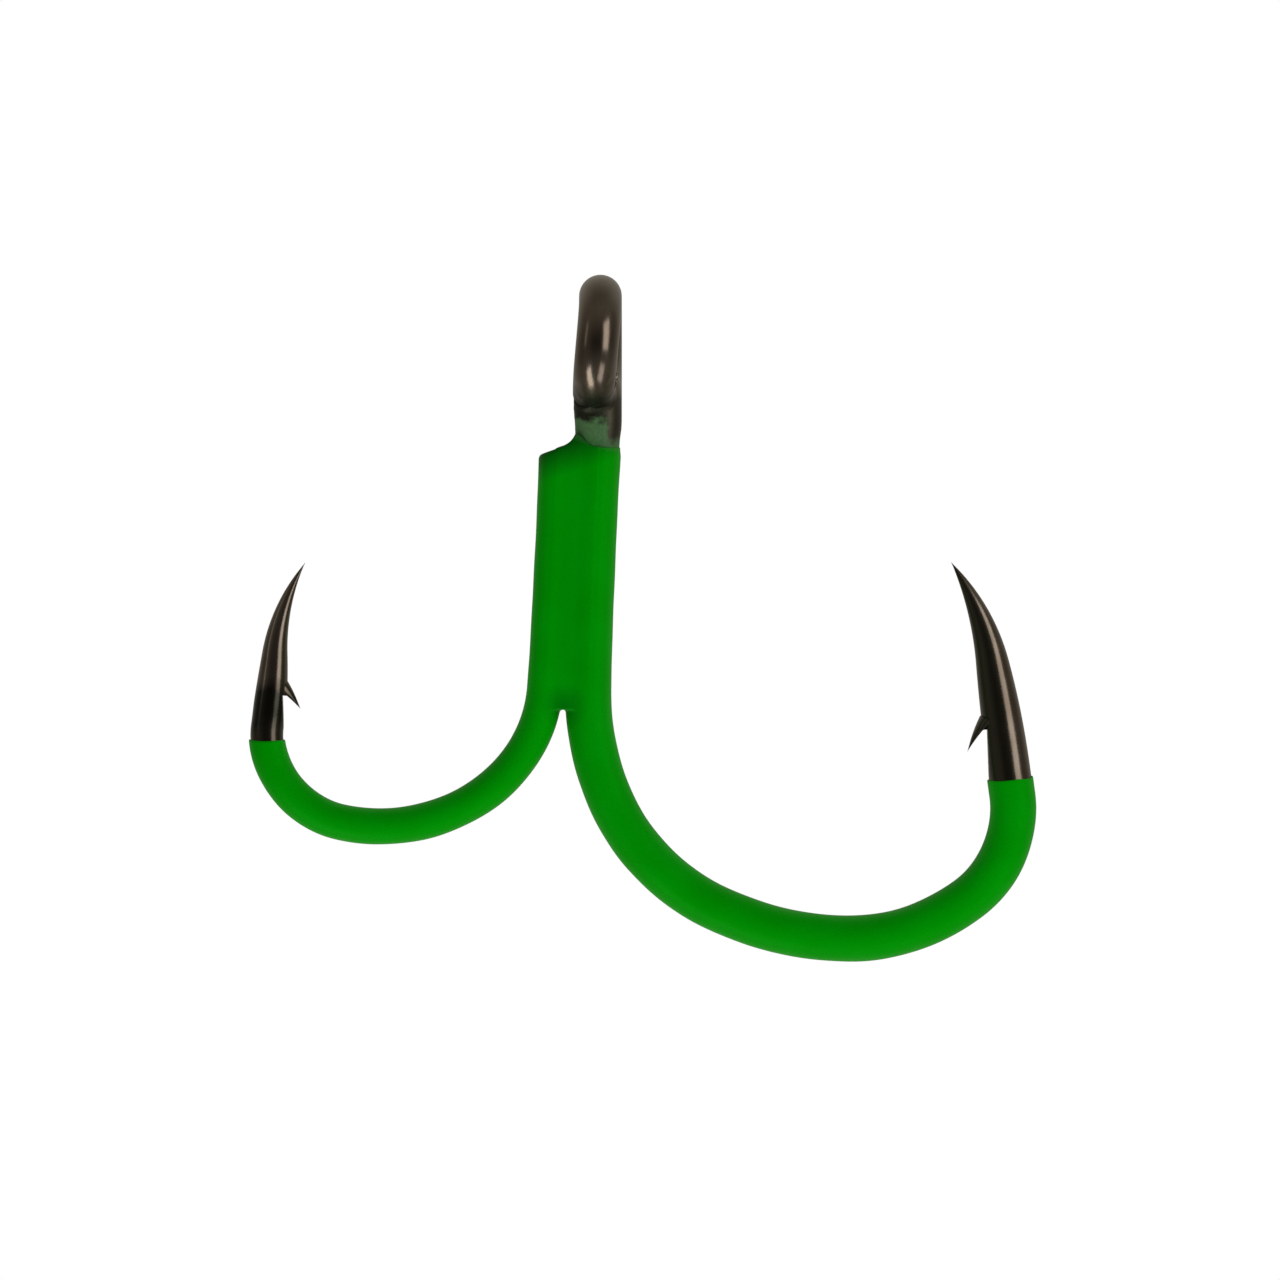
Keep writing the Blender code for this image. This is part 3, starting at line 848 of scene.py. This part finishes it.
CENTRE = (CAD_LOW + CAD_HIGH) / 2

# Camera, in metres: square to the hooks' plane
FRAME_WIDTH = 0.06773           # width of the view at the object
CAMERA_DISTANCE = 0.50
AIM = Vector((-0.00014, 0.0, -0.00115))         # from the object's centre

# Lamps: azimuth and elevation in degrees, width and height in metres, radiance, tint
LIGHT_DISTANCE = 0.35
SOFTBOXES = {
    "key_right": (47.0, 12.0, 0.19, 0.27, 3.0, (1.0, 0.97, 0.94)),
    "low_right": (42.0, -47.0, 0.15, 0.19, 2.2, (1.0, 0.97, 0.94)),
    "low_left": (-45.0, -54.0, 0.13, 0.27, 4.4, (1.0, 0.96, 0.92)),
    "side_left": (-66.0, 17.0, 0.06, 0.16, 0.8, (1.0, 1.0, 1.0)),
}

# Ambient light from above, below, behind and the sides: axis, where it starts, where it is full, strength
SURROUND = (("Z", 0.0, 1.0, 0.31), ("Z", 0.0, -1.0, 0.28), ("Y", -0.1, 0.8, 0.31), ("X", -0.3, -1.0, 0.18),
            ("X", 0.3, 1.0, 0.18), ("Y", 0.3, -1.0, 0.08))

TABLE_RADIUS = 0.30
TABLE_DROP = 0.040              # gap between the object and the table


def direction(azimuth, elevation):
    """From the object: azimuth from the camera towards +X, elevation above the horizon, in degrees."""
    a, e = math.radians(azimuth), math.radians(elevation)
    return Vector((math.sin(a) * math.cos(e), -math.cos(a) * math.cos(e), math.sin(e)))


def softbox(name, azimuth, elevation, width, height, radiance, tint):
    """A rectangular lamp that faces the object."""
    light = bpy.data.lights.new(name, "AREA")
    light.shape = "RECTANGLE"
    light.size, light.size_y = width, height
    light.energy = radiance * math.pi * width * height
    light.color = tint
    lamp = bpy.data.objects.new(name, light)
    away = direction(azimuth, elevation)
    lamp.location = CENTRE + away * LIGHT_DISTANCE
    lamp.rotation_mode = "QUATERNION"
    lamp.rotation_quaternion = away.to_track_quat("Z", "Y")
    lamp.visible_camera = False
    bpy.context.scene.collection.objects.link(lamp)


def studio_world():
    """White to the camera; for light and reflections, dark on the camera's side and paler round it."""
    world = bpy.data.worlds.new("studio")
    world.use_nodes = True
    tree = world.node_tree
    tree.nodes.clear()

    def add(kind, **settings):
        node = tree.nodes.new(kind)
        for key, value in settings.items():
            setattr(node, key, value)
        return node

    place = add("ShaderNodeTexCoord")
    split = add("ShaderNodeSeparateXYZ")
    tree.links.new(place.outputs["Generated"], split.inputs[0])
    total = None
    for axis, low, high, strength in SURROUND:
        ramp = add("ShaderNodeMapRange", interpolation_type="SMOOTHSTEP")
        tree.links.new(split.outputs[axis], ramp.inputs["Value"])
        for key, number in (("From Min", low), ("From Max", high), ("To Min", 0.0), ("To Max", strength)):
            ramp.inputs[key].default_value = number
        if total is None:
            total = ramp.outputs["Result"]
        else:
            both = add("ShaderNodeMath", operation="ADD")
            tree.links.new(total, both.inputs[0])
            tree.links.new(ramp.outputs["Result"], both.inputs[1])
            total = both.outputs[0]
    lit = add("ShaderNodeBackground")
    tree.links.new(total, lit.inputs["Strength"])
    lit.inputs["Color"].default_value = (1.05, 1.0, 0.86, 1.0)
    seen = add("ShaderNodeBackground")
    seen.inputs["Color"].default_value = (1.0, 1.0, 1.0, 1.0)
    seen.inputs["Strength"].default_value = 1.0
    ray = add("ShaderNodeLightPath")
    choose = add("ShaderNodeMixShader")
    tree.links.new(ray.outputs["Is Camera Ray"], choose.inputs[0])
    tree.links.new(lit.outputs[0], choose.inputs[1])
    tree.links.new(seen.outputs[0], choose.inputs[2])
    out = add("ShaderNodeOutputWorld")
    tree.links.new(choose.outputs[0], out.inputs[0])
    bpy.context.scene.world = world


def floor():
    """A pale round table under the object that fades into the white surround."""
    bpy.ops.mesh.primitive_circle_add(vertices=96, radius=TABLE_RADIUS, fill_type="NGON",
                                      location=(CENTRE.x, CENTRE.y, CAD_LOW.z - TABLE_DROP))
    disc = bpy.context.object
    disc.name = "studio_floor"
    n = Nodes("pale_table")
    far = n.add("ShaderNodeVectorMath", {"operation": "LENGTH"})
    n.put(far, "0", n.place)
    fade = n.ramp(far.outputs["Value"], 0.02, 0.28, 0.55, 1.0)
    n.finish(Base_Color=colour(0.86, 0.86, 0.85), Roughness=0.8)
    glow = n.add("ShaderNodeEmission", Color=colour(1.0, 1.0, 1.0), Strength=1.0)
    mix = n.add("ShaderNodeMixShader")
    n.put(mix, "0", fade)
    n.tree.links.new(n.shader.outputs[0], mix.inputs[1])
    n.tree.links.new(glow.outputs[0], mix.inputs[2])
    n.tree.links.new(mix.outputs[0], n.tree.nodes["Material Output"].inputs[0])
    disc.data.materials.append(n.material)
    disc.visible_shadow = False
    disc.visible_glossy = False
    disc.visible_diffuse = False


def camera():
    """The photo's view."""
    lens = bpy.data.cameras.new("camera")
    lens.lens = lens.sensor_width * CAMERA_DISTANCE / FRAME_WIDTH
    lens.clip_start, lens.clip_end = 0.01, 10.0
    eye = bpy.data.objects.new("camera", lens)
    eye.location = CENTRE + AIM + direction(0.0, 0.0) * CAMERA_DISTANCE
    eye.rotation_euler = (math.radians(90.0), 0.0, 0.0)
    bpy.context.scene.collection.objects.link(eye)
    bpy.context.scene.camera = eye


def studio():
    """White surround, pale table, lamps and camera."""
    studio_world()
    floor()
    for name, settings in SOFTBOXES.items():
        softbox(name, *settings)
    bpy.context.scene.view_settings.view_transform = "Standard"
    camera()


# ---- assembly -------------------------------------------------------------------------------------

def assemble():
    """Puts a fine mesh in the place of each visible CAD piece."""
    points, where = large_path()
    large = build_hook("large_hook_steel", points, where, LARGE, LARGE_R, LARGE_GRIND, LARGE_BARB, 1,
                       EYE_END_SLOPE)
    paint(large, neck_plating("black_nickel_large"))
    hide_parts("large_hook")

    points, where = small_path()
    small = build_hook("small_hook_steel", points, where, SMALL, SMALL_R, SMALL_GRIND, SMALL_BARB, -1,
                       SMALL_TOP_SLOPE)
    paint(small, black_nickel("black_nickel_small", shade_band=True))
    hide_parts("small_hook")

    braze = eye_braze()
    paint(braze, neck_plating("plated_eye_braze"))
    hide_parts("eye_braze")

    coat = green_coating()
    paint(coat, green_coat())
    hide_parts("green_coating")

    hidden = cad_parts["shank_braze"]      # wholly under the coat
    material = black_nickel("plated_shank_braze")
    for slot in hidden.material_slots:
        slot.material = material


assemble()
studio()
